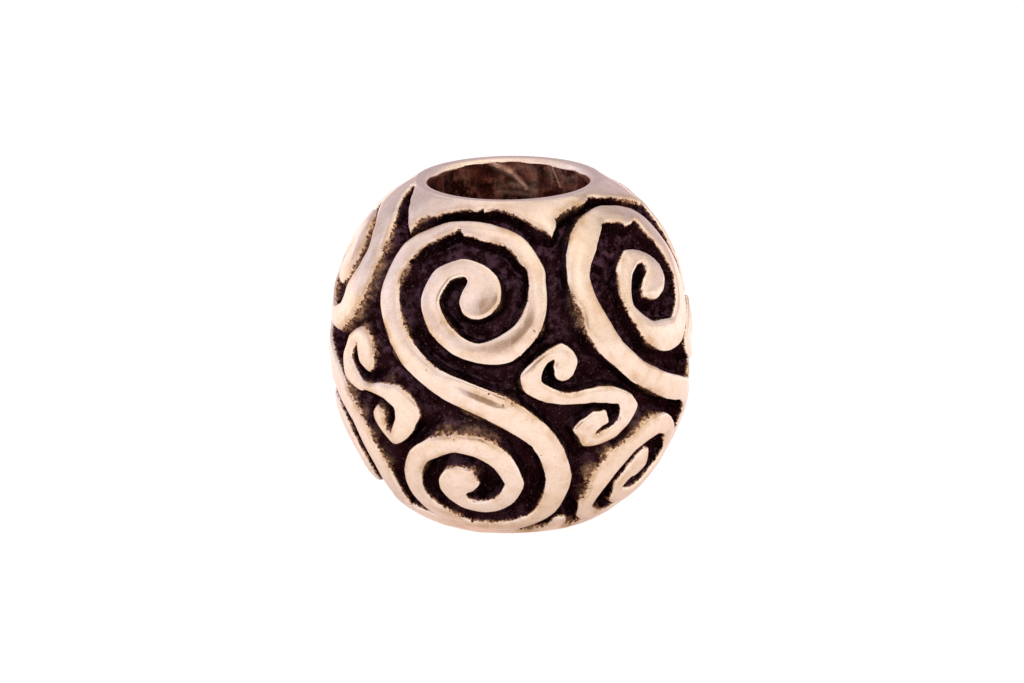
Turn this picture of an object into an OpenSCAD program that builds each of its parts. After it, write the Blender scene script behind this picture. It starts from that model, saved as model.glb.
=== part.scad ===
// Dreadlock bead: a short barrel cast in one piece in bronze, with a wide hole from end to end. Five large
// double curls and five small ones stand up around it from a sunken ground, under a smooth collar at each
// end whose edge runs down to a point between the large curls.
// Millimetres and degrees. The bead stands on its lower face at z = 0 with the hole along Z, and the
// large curl nearest the front faces -Y.

/* [Bead] */
// Greatest width of the bead, across the curls
bead_width = 16; // [13:0.5:24]
// Height of the bead from face to face
bead_height = 15; // [12:0.5:20]
// Width of the hole
bore_width = 7; // [5:0.1:7.6]
// Width of the flat face left around the hole at each end
rim_land = 0.6; // [0.4:0.05:0.8]
// Bevel that eases each end of the hole
bore_bevel = 0.35; // [0.1:0.05:0.35]
// Fullness of the side: 2 is an ellipse, more is squarer
barrel_power = 2.2; // [2:0.05:2.6]

/* [Relief] */
// Height the curls and collars stand above the ground
relief = 0.7; // [0.4:0.05:0.9]
// Share of the relief over which a band's edges are eased
ease_height = 0.25; // [0.1:0.01:0.4]
// Share of a band's width over which each of its edges is eased
ease_width = 0.2; // [0.1:0.01:0.3]
// Turn of the first large double curl from the front
pattern_turn = -15; // [-36:1:36]
// Height of the middle of the pattern above mid-height, in degrees at the middle of the bead
belt_rise = -2; // [-3:0.5:1]

/* [Large curls] */
// Reach of a large curl from its eye
large_reach = 36; // [33:0.5:37]
// Height of a large eye above the middle of its double curl
large_rise = 30; // [28:0.5:31]
// Slide of the upper large eye to the right of the middle
large_slide = 4; // [2:0.5:6]

/* [Small curls] */
// Reach of a small curl from its eye
small_reach = 14; // [11:0.5:15]
// Height of a small eye above the middle of its double curl
small_rise = 10.5; // [9:0.5:12]
// Slide of the upper small eye to the right of the middle
small_slide = -5; // [-6.5:0.5:-3]

/* [Collars] */
// Latitude of the collar's edge over a large curl at the upper end
upper_crest = 58.5; // [57:0.5:60]
// Latitude of the collar's points at the upper end
upper_point = 47; // [45:0.5:52]
// Latitude of the collar's edge under a large curl at the lower end
lower_crest = 59.5; // [58:0.5:60.5]
// Latitude of the collar's points at the lower end
lower_point = 49.5; // [47:0.5:53]

/* [Hidden] */
// Number of large double curls around the bead, and of small ones between them
repeats = 5;
radius = bead_width / 2;
half_height = bead_height / 2;
bore_radius = bore_width / 2;
end_radius = bore_radius + rim_land;
barrel_half = half_height / pow(1 - pow(end_radius / radius, barrel_power), 1 / barrel_power);
pitch = 360 / repeats;
// Height of the upright sides of the bands, eyes and collars above the ground
shoulder = relief * (1 - ease_height);
// Degrees of turn between the rows of a curl's table
row_turn = 30;
// Longest run of a band between two of its sections, in millimetres
large_run = 1;
small_run = 0.65;
// Depth the sides of the relief go on below the ground, so that the two are one casting
sunk = 0.5;
// Share of its distance from the middle of the bead at which a side ends below the ground
foot_share = floor((1 - (relief + sunk) / radius) * 100) / 100;
// Steps around a collar in each repeat
collar_steps = 12;
// Degrees over which a collar's edge rises to its full height
eased_edge = 1.5;
// Sides of the ground, turned so that its corners stay clear of the collars' steps
ground_sides = 40;
ground_turn = 1.5;
// Step of latitude in the side of the ground, and the latitude where its side ends
ground_step = 12;
ground_end = 60;

// Columns of the curl tables, each row 30 degrees of turn further in from the bar that joins the two curls
OUTER = 0;
INNER = 1;

// Outer and inner edge of a large curl's band, in shares of large_reach from the eye
LARGE_BAND = [
    [0.94, 0.70], [0.99, 0.75], [1.02, 0.78], [0.95, 0.76], [0.84, 0.67], [0.75, 0.56],
    [0.68, 0.50], [0.62, 0.45], [0.58, 0.39], [0.55, 0.35], [0.53, 0.32], [0.52, 0.33],
    [0.53, 0.34], [0.55, 0.36], [0.56, 0.38], [0.51, 0.34], [0.42, 0.26], [0.31, 0.17],
];
// Edge of a large eye, from the turn where the band's inner edge meets it
LARGE_EYE = [0.42, 0.32, 0.26, 0.21, 0.18, 0.14, 0.13, 0.14, 0.15, 0.17, 0.19, 0.19];
LARGE_EYE_TURN = 488;
// Heading from the upper eye at which the large band joins the bar
LARGE_BAR_TURN = 240;

// Outer and inner edge of a small curl's band, in shares of small_reach from the eye
SMALL_BAND = [
    [0.88, 0.55], [0.90, 0.53], [1.02, 0.62], [1.00, 0.56], [0.74, 0.38], [0.61, 0.28], [0.57, 0.20],
];
// Edge of a small eye, from the turn where the band's inner edge meets it
SMALL_EYE = [0.61, 0.57, 0.50, 0.42, 0.37, 0.32, 0.30, 0.30, 0.30, 0.30, 0.27, 0.24];
SMALL_EYE_TURN = 158;
// Heading from the upper eye at which the small band joins the bar
SMALL_BAR_TURN = 270;

// Value between four evenly spaced ones, on a smooth line through the middle two
function smooth(a, b, c, d, t) =
    b + t * (c - a) / 2 + t * t * (a - 2.5 * b + 2 * c - d / 2) + t * t * t * (1.5 * (b - c) + (d - a) / 2);

// One column of a curl's table at any turn within it
function column(table, col, turn) =
    let (last = len(table) - 1, at = min(turn / row_turn, last), i = min(floor(at), last - 1))
    smooth(table[max(i - 1, 0)][col], table[i][col], table[i + 1][col], table[min(i + 2, last)][col], at - i);

// Distance from the middle of the bead to its outer form at that latitude
function form(lat) =
    pow(pow(cos(lat) / radius, barrel_power) + pow(abs(sin(lat)) / barrel_half, barrel_power), -1 / barrel_power);

// Point at that height above the ground, in a direction from the middle of the bead. Points are kept to
// hundredths and feet are shares of them, so that every side is a flat face that points at the middle.
function lifted(way, high) =
    let (far = form(asin(way.z)) - relief + high, level = min(max(way.z * far, -half_height), half_height))
    [for (v = [way.x * far, way.y * far, level]) round(v * 100) / 100];

function foot(point) = point * foot_share;

// Direction of a place in the flat pattern, in degrees across and up from the middle of the front
function facing(place) =
    let (away = norm(place), spread = away == 0 ? 1 : sin(away) / away, up = place.y * spread)
    [
        place.x * spread,
        up * sin(belt_rise) - cos(away) * cos(belt_rise),
        up * cos(belt_rise) + cos(away) * sin(belt_rise),
    ];

function place_on(eye, turn, far) = [eye.x + far * cos(turn), eye.y + far * sin(turn)];

// Section of a band: up one side, over the eased top and down the other side
function band_section(a, b) =
    let (one = lifted(facing(a), shoulder), other = lifted(facing(b), shoulder))
    [
        foot(one),
        one,
        lifted(facing(a + (b - a) * ease_width), relief),
        lifted(facing(b + (a - b) * ease_width), relief),
        other,
        foot(other),
    ];

// Turns at which a curl's band has a section, closer together where its reach is longer
function turns_of(table, reach, run) =
    let (last = (len(table) - 1) * row_turn, per = run / (reach * PI / 180 * radius) * 180 / PI)
    concat([for (t = 0; t < last - row_turn / 3; t = t + per / column(table, OUTER, t)) t], [last]);

// Sections of one curl from the bar inwards; way is 1 for the upper curl and -1 for the lower one
function curl_sections(table, eye, reach, run, bar_turn, way) =
    [for (turn = turns_of(table, reach, run))
        let (
            heading = bar_turn - turn + (way > 0 ? 0 : 180),
            a = place_on(eye * way, heading, reach * column(table, OUTER, turn)),
            b = place_on(eye * way, heading, reach * column(table, INNER, turn))
        )
        way > 0 ? band_section(a, b) : band_section(b, a)];

function backwards(list) = [for (i = [len(list) - 1 : -1 : 0]) list[i]];

function middle(ring) = [for (k = [0 : 2]) [for (p = ring) p[k]] * [for (p = ring) 1] / len(ring)];

// Closed skin over rings of points, drawn to a point at each end
module skin(rings, first, last) {
    rows = len(rings);
    cols = len(rings[0]);
    polyhedron(
        points = concat([for (r = rings) each r], [first, last]),
        faces = concat(
            [for (j = [0 : cols - 1]) [rows * cols, (j + 1) % cols, j]],
            [for (i = [0 : rows - 2], j = [0 : cols - 1])
                [i * cols + j, i * cols + (j + 1) % cols, (i + 1) * cols + (j + 1) % cols]],
            [for (i = [0 : rows - 2], j = [0 : cols - 1])
                [i * cols + j, (i + 1) * cols + (j + 1) % cols, (i + 1) * cols + j]],
            [for (j = [0 : cols - 1]) [rows * cols + 1, (rows - 1) * cols + j, (rows - 1) * cols + (j + 1) % cols]]
        ),
        convexity = 10
    );
}

// Eye of a curl: a low boss whose edge meets the inner end of the band
module eye_boss(table, eye, reach, from_turn, bar_turn, way) {
    sides = len(table);
    rim = [for (k = [0 : sides - 1])
        place_on(eye * way, bar_turn - from_turn - k * row_turn + (way > 0 ? 0 : 180), reach * table[k])];
    edge = [for (p = rim) lifted(facing(p), shoulder)];
    skin(
        [
            [for (p = edge) foot(p)],
            edge,
            [for (p = rim) lifted(facing(p + (eye * way - p) * 2 * ease_width), relief)],
        ],
        foot(lifted(facing(eye * way), shoulder)),
        lifted(facing(eye * way), relief)
    );
}

// Double curl: one band from eye to eye, and the two eyes
module double_curl(band, eyes, eye, reach, run, from_turn, bar_turn) {
    rings = concat(
        backwards(curl_sections(band, eye, reach, run, bar_turn, 1)),
        curl_sections(band, eye, reach, run, bar_turn, -1)
    );
    skin(rings, middle(rings[0]), middle(rings[len(rings) - 1]));
    for (way = [-1, 1])
        eye_boss(eyes, eye, reach, from_turn, bar_turn, way);
}

// Smooth collar at one end: its edge falls from a crest over each large curl to a point between them
module collar(crest, point, end) {
    steps = collar_steps * repeats;
    rounds = [for (k = [0 : steps - 1]) -end * k * 360 / steps];
    edge = [for (t = rounds)
        let (off = abs((t + 3600 + pitch / 2) % pitch - pitch / 2) / (pitch / 2))
        crest - (crest - point) * off * off];
    way = function (turn, lat) [sin(turn) * cos(lat), -cos(turn) * cos(lat), end * sin(lat)];
    lower = [for (k = [0 : steps - 1]) lifted(way(rounds[k], edge[k]), shoulder)];
    skin(
        [
            [for (p = lower) foot(p)],
            lower,
            [for (k = [0 : steps - 1]) lifted(way(rounds[k], edge[k] + eased_edge), relief)],
            [for (t = rounds) [end_radius * sin(t), -end_radius * cos(t), end * half_height]],
        ],
        [0, 0, end * half_height / 2],
        [0, 0, end * half_height]
    );
}

// Sunken ground between the curls, as a plain barrel
module ground() {
    side = [for (lat = [-ground_end : ground_step : ground_end]) (form(lat) - relief) * [cos(lat), sin(lat)]];
    rotate_extrude($fn = ground_sides)
        polygon(concat([[0, side[0].y]], side, [[0, side[len(side) - 1].y]]));
}

module bead() {
    color("peru")
    difference() {
        // Holds the cast body to its height, and stands it on z = 0
        translate([0, 0, half_height])
        resize([0, 0, bead_height])
        union() {
            rotate([0, 0, pattern_turn + ground_turn])
                ground();
            for (k = [0 : repeats - 1])
                rotate([0, 0, pattern_turn + k * pitch]) {
                    double_curl(
                        LARGE_BAND, LARGE_EYE, [large_slide, large_rise], large_reach, large_run,
                        LARGE_EYE_TURN, LARGE_BAR_TURN
                    );
                    rotate([0, 0, pitch / 2])
                        double_curl(
                            SMALL_BAND, SMALL_EYE, [small_slide, small_rise], small_reach, small_run,
                            SMALL_EYE_TURN, SMALL_BAR_TURN
                        );
                }
            rotate([0, 0, pattern_turn]) {
                collar(upper_crest, upper_point, 1);
                collar(lower_crest, lower_point, -1);
            }
        }
        translate([0, 0, -1])
            cylinder(h = bead_height + 2, r = bore_radius, $fn = 96);
        // Eased ends of the hole
        translate([0, 0, -0.01])
            cylinder(h = bore_bevel + 0.01, r1 = bore_radius + bore_bevel + 0.01, r2 = bore_radius, $fn = 96);
        translate([0, 0, bead_height - bore_bevel])
            cylinder(h = bore_bevel + 0.01, r1 = bore_radius, r2 = bore_radius + bore_bevel + 0.01, $fn = 96);
    }
}

bead();
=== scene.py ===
"""Looks of the cast bronze dreadlock bead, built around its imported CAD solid.

The whole outside is one height field over the barrel: outlines of the double curls and collars are drawn on
the surface, the signed distance to them gives the raised tops, the steep walls and the rough sunken ground,
and the mesh is then thinned out where it is smooth. Lengths are in millimetres until the mesh is made.
Longitudes run from the front to the right, and tables give them and latitudes in degrees.
"""

import math
from types import SimpleNamespace

import bpy
import numpy as np
from mathutils import Matrix, Vector


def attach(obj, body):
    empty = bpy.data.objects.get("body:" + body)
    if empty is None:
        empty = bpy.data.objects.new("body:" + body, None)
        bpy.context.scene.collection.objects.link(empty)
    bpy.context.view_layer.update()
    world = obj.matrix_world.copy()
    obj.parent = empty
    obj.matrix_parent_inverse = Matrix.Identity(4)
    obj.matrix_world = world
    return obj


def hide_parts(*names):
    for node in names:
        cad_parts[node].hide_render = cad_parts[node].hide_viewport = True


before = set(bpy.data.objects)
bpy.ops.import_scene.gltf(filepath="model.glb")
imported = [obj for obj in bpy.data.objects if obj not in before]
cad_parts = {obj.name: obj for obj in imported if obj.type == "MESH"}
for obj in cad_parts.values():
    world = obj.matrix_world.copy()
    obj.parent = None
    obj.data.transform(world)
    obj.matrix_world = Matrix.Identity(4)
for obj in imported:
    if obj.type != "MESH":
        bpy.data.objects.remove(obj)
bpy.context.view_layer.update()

# sizes of the bead
RADIUS = 8.0
HALF_HEIGHT = 7.5
BORE = 3.5
LAND = 0.6          # the barrel ends this far outside the bore
POWER = 2.2         # of the barrel's curve: 2 would be an ellipse
END_RADIUS = BORE + LAND
BARREL_HALF = HALF_HEIGHT / (1 - (END_RADIUS / RADIUS) ** POWER) ** (1 / POWER)
RELIEF = 0.68       # height of the relief over its ground

# how the casting is finished
MOUTH = 0.13        # how far the bore's mouth is rounded off
TOP_WORN = 0.12     # the upper rim is worn down a little
TOP_REACH = 1.6     # how far down that wear is felt
EASED = 0.11        # how far polishing eases the corners of the profile
EDGE_ROUND = 0.20   # radius of a polished edge
CROWN = 0.06        # how much a band is fuller in its middle
CROWN_REACH = 0.45  # how far in from an edge the crown is reached
WALL = 0.11         # width of the steep wall under an edge
SOFT_ROUND = 0.28   # how much more a soft shoulder is rounded
SOFT_WALL = 0.95    # how much wider its wall is
LEFT_FLAT = 0.0068  # share by which the left side is flatter
CREEP = 0.21        # how strongly patina creeps over an edge
CREEP_REACH = 0.13  # how far in from the edge it gets
TRUE_PIT = 0.06     # a pit smaller than this is only a dark dot

# how the outlines were drawn
SPREAD = 0.05       # they follow the polish, which ends just inside the true edge
LEAN = 0.17         # over an edge that faces away they lie this much further in
LEAN_REACH = 0.35   # how far from the edge that matters
DRAWN_IN = 0.9857   # they were measured at a slightly larger size than the bead is drawn
FACET = 0.22        # how much of an outline is hand-cut straight strokes
WIDEST = 1.25       # no scroll reaches further round from its centre, in radians

# the mesh
GRID = 0.052
TRIANGLES = 190000
SAMPLE = 0.02       # step along the profile while its corners are eased
BLOCK = 16          # rows and columns of the grid measured at a time
# The last mark carries golden tarnish together with painted shade
MARKS = ("lift", "fringe", "bare", "stain")

# how far the photograph looks down at the bead, and the way from the bead to the camera
VIEW_ANGLE = math.radians(16)
SIGHT = np.array([0, -math.cos(VIEW_ANGLE), math.sin(VIEW_ANGLE)])

# Unevenness: how high, how wide, seed
OUTLINE_WAVER = [(0.018, 0.9, 1), (0.010, 0.35, 2)]
TOP_UNEVEN = [(0.028, 1.5, 3), (0.015, 0.7, 4)]
GROUND_ROUGH = [(0.05, 0.8, 5), (0.035, 0.3, 6), (0.02, 0.16, 7)]
LIP_WAVER = [(0.04, 0.9, 21), (0.03, 0.3, 22)]
BORE_ROUGH = [(0.04, 0.8, 23), (0.02, 0.3, 24)]

# outlines
# A curl is drawn about its eye, as turns in degrees and reaches in millimetres. "out" runs from the bar that
# joins the two curls inwards, round the eye to the end of the slot, and "back" runs from there out again.
FRONT_LARGE = {
    "centre": (-12, -4),
    "upper": {
        "eye": (0.25, 4.4),
        "out": [
            (600, 4.5), (570, 4.85), (540, 5.2), (510, 4.85), (480, 4.1), (450, 3.55), (420, 3.35),
            (390, 3.15), (376, 2.98), (362, 2.92), (345, 2.94), (330, 2.92), (300, 2.85), (270, 2.55),
            (240, 2.5), (210, 2.65), (180, 2.8), (150, 2.6), (120, 2.1), (90, 1.6), (60, 1.3), (30, 1.05),
            (0, 0.85), (-30, 0.67), (-60, 0.63), (-90, 0.67), (-120, 0.75), (-150, 0.87), (-180, 0.93),
            (-210, 0.93), (-228, 1.0), (-234, 1.15),
        ],
        "back": [
            (130, 1.4), (150, 1.72), (180, 1.9), (210, 1.7), (240, 1.65), (270, 1.7), (300, 1.65), (330, 1.8),
            (352, 1.95), (364, 2.07), (382, 2.25), (396, 2.43), (409, 2.36), (418, 2.47), (429, 2.57),
            (441, 2.56), (455, 2.67), (464, 2.92), (471, 3.1), (474.5, 3.46), (478, 3.37), (482, 3.43),
            (494, 3.54), (502, 3.78), (512, 3.88), (518, 3.93), (525, 4.05), (533, 4.12), (540, 4.04),
            (550, 3.87), (560, 3.74), (570, 3.65), (580, 3.53), (600, 3.4),
        ],
    },
    "lower": {
        "eye": (-0.9, -4.0),
        "out": [
            (60, 4.95), (30, 5.05), (0, 5.0), (-30, 4.65), (-60, 4.3), (-90, 3.9), (-120, 3.5), (-150, 3.1),
            (-180, 2.8), (-210, 2.6), (-240, 2.5), (-270, 2.6), (-300, 2.85), (-330, 2.85), (-360, 2.85),
            (-390, 2.5), (-420, 2.1), (-450, 1.65), (-480, 1.3), (-510, 1.1), (-540, 0.95), (-570, 0.87),
            (-600, 0.85), (-630, 0.9), (-660, 1.0), (-675, 1.05), (-720, 0.85), (-750, 0.7), (-780, 0.65),
            (-793, 0.8),
        ],
        "back": [
            (-434, 1.05), (-420, 1.3), (-390, 1.65), (-360, 2.0), (-330, 1.9), (-300, 1.75), (-270, 1.65),
            (-240, 1.55), (-210, 1.7), (-180, 1.85), (-150, 2.2), (-120, 2.4), (-90, 2.85), (-60, 3.35),
            (-30, 3.7), (0, 3.85), (30, 3.9), (60, 3.6),
        ],
    },
}
RIGHT_LARGE = {
    "centre": (62, -4),
    "upper": {
        "eye": (-0.5, 4.25),
        "out": [
            (600, 4.55), (585, 4.5), (570, 4.65), (555, 4.7), (547, 4.6), (542, 4.6), (536, 4.8), (525, 4.8),
            (510, 4.7), (495, 4.53), (480, 4.33), (465, 4.13), (450, 3.95), (420, 3.8), (390, 3.3),
            (360, 3.2), (330, 3.35), (300, 3.4), (270, 3.0), (240, 2.7), (210, 2.4), (180, 2.4), (150, 2.3),
            (120, 2.0), (90, 1.5), (60, 1.3), (30, 1.25), (0, 1.05), (-30, 0.75), (-60, 0.6), (-90, 0.6),
            (-120, 0.67), (-160, 1.0), (-180, 0.97), (-210, 0.7), (-240, 0.6), (-262, 0.7),
        ],
        "back": [
            (96, 0.95), (120, 1.15), (150, 1.4), (180, 1.7), (200, 1.85), (240, 1.65), (270, 1.6), (300, 1.9),
            (330, 2.1), (360, 2.25), (390, 2.3), (408, 2.33), (418, 2.6), (424, 2.95), (434, 2.76),
            (445, 2.7), (452, 2.93), (464, 3.24), (472, 3.35), (490, 3.3), (500, 3.35), (512, 3.57),
            (523, 3.7), (540, 3.57), (555, 3.45), (575, 3.44), (600, 3.5),
        ],
    },
    "lower": {
        "eye": (-1.4, -3.9),
        "out": [
            (90, 4.65), (80, 4.32), (65, 4.2), (48, 4.5), (30, 5.15), (0, 5.3), (-30, 4.9), (-60, 4.3),
            (-90, 3.85), (-110, 3.5), (-123, 3.15), (-140, 2.97), (-150, 2.72), (-160, 2.65), (-178, 2.68),
            (-190, 2.48), (-205, 2.45), (-212, 2.2), (-233, 2.0), (-252, 2.22), (-272, 2.36), (-300, 2.5),
            (-326, 2.77), (-340, 3.0), (-360, 3.2), (-400, 3.12), (-408, 3.2), (-418, 3.3), (-436, 2.65),
            (-452, 2.18), (-463, 1.72), (-485, 1.28), (-504, 0.88), (-535, 0.60), (-567, 0.54), (-600, 0.6),
            (-640, 0.76), (-670, 0.79), (-710, 0.77), (-737, 0.87), (-760, 0.85), (-780, 0.84), (-801, 0.78),
            (-811, 0.95), (-810, 1.28), (-803, 1.5),
        ],
        "back": [
            (-786, 1.78), (-774, 2.02), (-764, 2.04), (-750, 1.97), (-738, 2.04), (-728, 2.3), (-720, 2.32),
            (-706, 2.1), (-694, 2.03), (-684, 1.88), (-669, 1.61), (-655, 1.36), (-629, 1.1), (-593, 0.99),
            (-552, 1.04), (-528, 1.34), (-505, 1.68), (-486, 2.24), (-472, 2.68), (-450, 3.0), (-430, 3.5),
            (-410, 3.8), (-390, 3.9), (-360, 4.25), (-340, 4.3), (-324, 3.82), (-308, 3.3), (-290, 3.12),
            (-276, 3.3), (-266, 3.6), (-256, 4.13),
        ],
    },
}
RIGHT_SMALL = {
    "centre": (-12, -4),
    "upper": {
        "eye": (3.9, 1.45),
        "out": [
            (300, 2.0), (270, 1.6), (240, 1.6), (210, 1.85), (195, 1.87), (180, 1.75), (150, 1.27),
            (120, 1.15), (90, 1.2), (60, 0.95), (30, 0.8), (0, 0.6), (-30, 0.55), (-60, 0.53), (-90, 0.5),
            (-120, 0.45), (-150, 0.4), (-180, 0.35), (-210, 0.45), (-230, 0.5),
        ],
        "back": [
            (126, 0.62), (150, 0.75), (180, 0.85), (205, 1.0), (240, 0.9), (270, 1.02), (285, 1.15),
            (300, 1.3),
        ],
    },
    "lower": {
        "eye": (5.3, -1.5),
        "out": [
            (450, 1.9), (420, 2.05), (390, 2.25), (370, 2.4), (360, 2.2), (345, 1.85), (330, 1.55),
            (315, 1.4), (300, 1.25), (270, 1.08), (240, 1.05), (210, 0.85), (180, 0.95), (150, 0.75),
            (120, 0.63), (90, 0.7), (60, 0.75), (45, 0.85), (30, 0.78), (0, 0.72), (-15, 0.4), (-30, 0.35),
            (-60, 0.33), (-72, 0.4),
        ],
        "back": [
            (287, 0.47), (300, 0.5), (315, 0.55), (330, 0.75), (345, 1.0), (360, 1.3), (375, 1.45),
            (390, 1.5), (405, 1.3), (420, 1.2), (450, 1.2),
        ],
    },
}
# The large curl round the left side is the front one again, with a wider ring that runs up into the collar
LEFT_LARGE = {
    "centre": (-84, -4),
    "upper": {
        "eye": (0.25, 4.4),
        "out": [
            (600, 4.5), (570, 4.85), (540, 5.25), (510, 5.1), (480, 5.0), (464, 4.75), (457, 4.45),
            (450, 4.05), (438, 3.74), (420, 3.65), (405, 3.58), (390, 3.45), (370, 3.28), (350, 3.22),
            (335, 3.14), (315, 2.95), (300, 2.85), (270, 2.55), (240, 2.5), (210, 2.7), (180, 2.95),
            (150, 3.0), (137, 3.02), (126, 3.0), (116, 2.85), (104, 2.6), (90, 2.3), (60, 1.75), (30, 1.3),
            (0, 0.95), (-30, 0.7), (-60, 0.63), (-90, 0.67), (-120, 0.75), (-150, 0.87), (-180, 0.93),
            (-210, 0.93), (-228, 1.0), (-234, 1.15),
        ],
        "back": [
            (130, 1.4), (150, 1.72), (180, 1.9), (210, 1.7), (240, 1.65), (270, 1.7), (300, 1.6), (320, 1.4),
            (335, 1.2), (350, 1.18), (372, 1.42), (386, 1.77), (403, 2.03), (418, 2.17), (436, 2.33),
            (454, 2.65), (480, 3.4), (510, 3.9), (540, 3.97), (570, 3.6), (600, 3.4),
        ],
    },
    "lower": FRONT_LARGE["lower"],
}
# The small double curl at the left is drawn straight in its flat map: (across, up) in millimetres
LEFT_SMALL = {
    "centre": (-46, -4),
    "outline": [
        (0.1, -0.25), (-1.0, -0.2), (-1.5, -0.3), (-2.4, -0.25), (-2.9, 0.1), (-3.0, 0.9), (-2.7, 1.6),
        (-2.4, 2.1), (-1.5, 2.6), (-0.95, 2.5), (-0.5, 2.1), (-0.36, 1.55), (-0.42, 1.05), (-0.7, 0.76),
        (-0.98, 0.8), (-1.4, 1.05), (-1.6, 1.45), (-1.72, 1.75), (-1.9, 1.7), (-2.05, 1.5), (-2.2, 1.0),
        (-1.7, 0.5), (-1.0, 0.15), (0.1, 0.4), (1.0, 0.5), (1.6, 0.28), (2.0, -0.15), (2.15, -0.6),
        (2.05, -1.05), (1.45, -1.85), (0.5, -2.4), (0.0, -2.1), (-0.5, -1.5), (-0.6, -1.1), (-0.3, -0.75),
        (0.05, -0.8), (0.2, -1.05), (0.12, -1.5), (0.2, -1.8), (0.35, -1.82), (0.6, -1.5), (0.85, -1.05),
        (0.85, -0.6), (0.5, -0.4),
    ],
}
# Where the polish never reached the edge and the shoulder stayed soft: longitude, latitude, size, amount
SOFT_SPOTS = [
    (-22, -11.5, 0.9, 1.0), (-13, -10.5, 1.0, 1.0), (-7, -15, 0.9, 0.9), (-21, -26, 0.5, 0.5),
    (-12, -28, 0.6, 0.7), (-42, 15, 0.8, 1.0), (-41, 9, 1.0, 1.0), (-42, 3, 0.8, 1.0), (-35, 0, 0.6, 0.6),
    (-58, 46, 0.7, 0.6), (-56, 40, 0.7, 0.8), (-55, 33, 0.8, 1.0), (-55, 26, 0.8, 1.0), (-60, 19, 0.9, 1.0),
    (-65, 12, 0.9, 0.9), (-62, -8, 0.7, 0.9), (-57, -13, 0.8, 0.8), (-52, -20, 0.8, 0.7),
    (-47, -28, 0.7, 0.6), (-38, 48, 0.5, 0.6), (-41, 34, 0.7, 0.6), (-37, 20, 0.6, 0.5), (-68, 38, 0.9, 1.0),
    (-75, 43, 0.7, 1.0), (-70, 30, 0.9, 1.0), (-76, 22, 0.6, 0.7), (28, -38, 0.7, 0.9), (28, -30, 0.8, 0.9),
    (32, -23, 0.7, 0.8), (22, 22, 0.8, 0.9), (26, 13, 0.5, 0.5), (14, 50, 0.7, 0.4), (-44, 52, 0.5, 0.4),
    (-36.5, 32, 0.6, 0.8), (9, -58, 0.7, 0.9), (31, -58, 0.8, 0.9), (3, 24, 0.4, 0.4), (12, 18, 0.5, 0.6),
    (52, 20, 0.7, 0.6), (-10, -52, 0.6, 0.5),
]
# Where the patina creeps raggedly over a crisp edge: longitude, latitude, size, amount
CREEPS = [
    (-37, 41, 0.6, 0.8), (-31, 45, 0.6, 0.9), (-24, 47, 0.7, 0.8), (-15, 47, 0.6, 0.6), (-5, 45, 0.7, 0.8),
    (2, 42, 0.6, 0.8), (6, 36, 0.6, 0.8), (6, 29, 0.6, 0.6), (3, 23, 0.5, 0.4), (-35, 53, 0.7, 0.8),
    (-25, 57, 0.7, 0.8), (-3, 57, 0.8, 0.6), (7, 53, 0.7, 0.7), (13, 50, 0.6, 0.6), (34, 56, 0.7, 0.8),
    (49, 58, 0.8, 0.6), (67, 55, 0.9, 0.7), (46, 49, 0.6, 0.7), (55, 47, 0.6, 0.7), (65, 45, 0.6, 0.7),
    (69, 38, 0.7, 0.7), (70, 28, 0.8, 0.8), (45, 37, 0.5, 0.7), (39, 30, 0.6, 0.8), (40, 23, 0.6, 0.7),
    (44, 17, 0.6, 0.7), (48, 10, 0.6, 0.7), (9, 11, 0.5, 0.7), (13, 14, 0.4, 0.6), (6, -1, 0.4, 0.5),
    (11, -3, 0.5, 0.6), (22, -5, 0.7, 0.5), (16, -1, 0.5, 0.5), (-1, -2, 0.6, 0.5), (7, -7, 0.7, 0.8),
    (13, -15, 0.7, 0.7), (-25, 9, 0.8, 0.6), (-34, 0, 0.5, 0.7), (-30, -4, 0.4, 0.5), (-5, -38, 0.5, 0.7),
    (21, 29, 0.7, 0.7), (20, -41, 0.6, 0.7),
]
# Shallow hollows left by hammer and file: longitude, latitude, length, width, turn, depth
HOLLOWS = [
    (-9.2, -0.8, 1.20, 0.22, -22, 0.100), (-8.0, 27, 0.45, 0.30, 50, 0.035), (-30, 12, 1.5, 0.5, 70, 0.04),
    (-20, 40, 1.2, 0.4, 12, 0.04), (8, 38, 1.0, 0.4, -50, 0.04), (1.5, 16, 0.45, 0.35, 45, -0.022),
    (9, 22, 0.5, 0.5, 0, -0.02), (30, 30, 1.6, 0.4, 80, 0.04), (38, 8, 1.3, 0.4, -50, 0.04),
    (-14, -30, 0.8, 0.4, 10, 0.03), (14, -34, 1.2, 0.4, -70, 0.04), (20, 0, 0.5, 0.3, 50, 0.05),
    (-38, 54, 1.5, 0.5, 10, 0.02), (8, 54, 1.2, 0.5, -20, 0.02), (60, 52, 1.4, 0.5, 0, 0.03),
    (-50, -8, 0.8, 0.4, 60, 0.03), (45, -2, 0.9, 0.25, -38, 0.05),
]
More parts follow.
